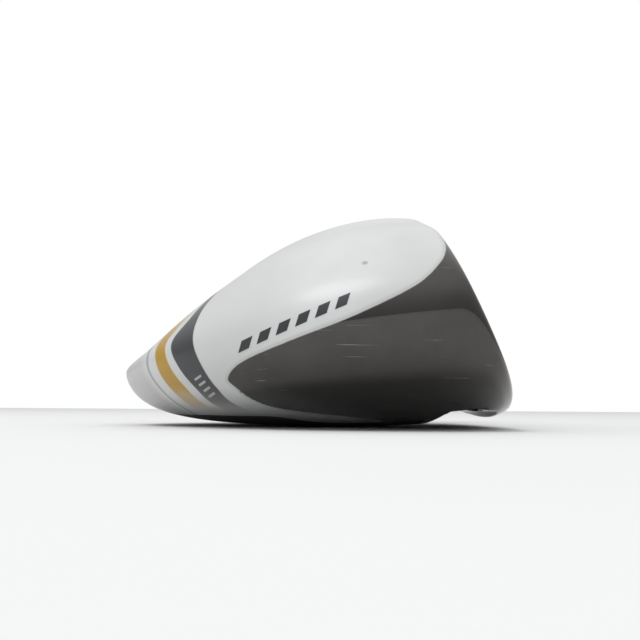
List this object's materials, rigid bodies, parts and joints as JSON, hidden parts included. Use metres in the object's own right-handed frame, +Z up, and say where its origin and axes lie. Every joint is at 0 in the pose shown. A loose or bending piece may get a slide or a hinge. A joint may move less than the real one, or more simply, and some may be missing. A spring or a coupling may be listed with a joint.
{
  "type": "hybrid golf club head",
  "caption": "Hollow steel hybrid golf club head with a grooved bulged face, slotted sole and short hosel bored for a shaft.",
  "frame": {"origin": "centre of the hosel's mouth, where the shaft's axis leaves the bore", "axes": "+X out of the face along the target line, +Y from the toe to the heel, +Z up with the sole on the ground at the lie angle"},
  "size_m": [0.0661, 0.1088, 0.0446],
  "materials": {
    "white_paint": "glossy white paint with black, gold and grey bands round the tail",
    "black_nickel_steel": "polished dark physical-vapour coating, lightly scratched",
    "black_sole_paint": "satin black",
    "face_steel": "satin blasted dark steel with score lines",
    "bare_steel": "as cast",
    "weld_metal": "heat-tinted weld ripple",
    "stopper_rubber": "matte",
    "hot_melt_glue": "cloudy amber, soft"
  },
  "bodies": {
    "root": {"body": "black_nickel_steel", "crown": "white_paint", "sole_plate": "black_sole_paint", "face_plate": "face_steel", "weight_pad": "bare_steel", "hosel_stopper": "stopper_rubber", "hot_melt": "hot_melt_glue", "crown_weld": "weld_metal", "sole_weld": "weld_metal", "face_weld": "weld_metal"}
  },
  "joints": []
}
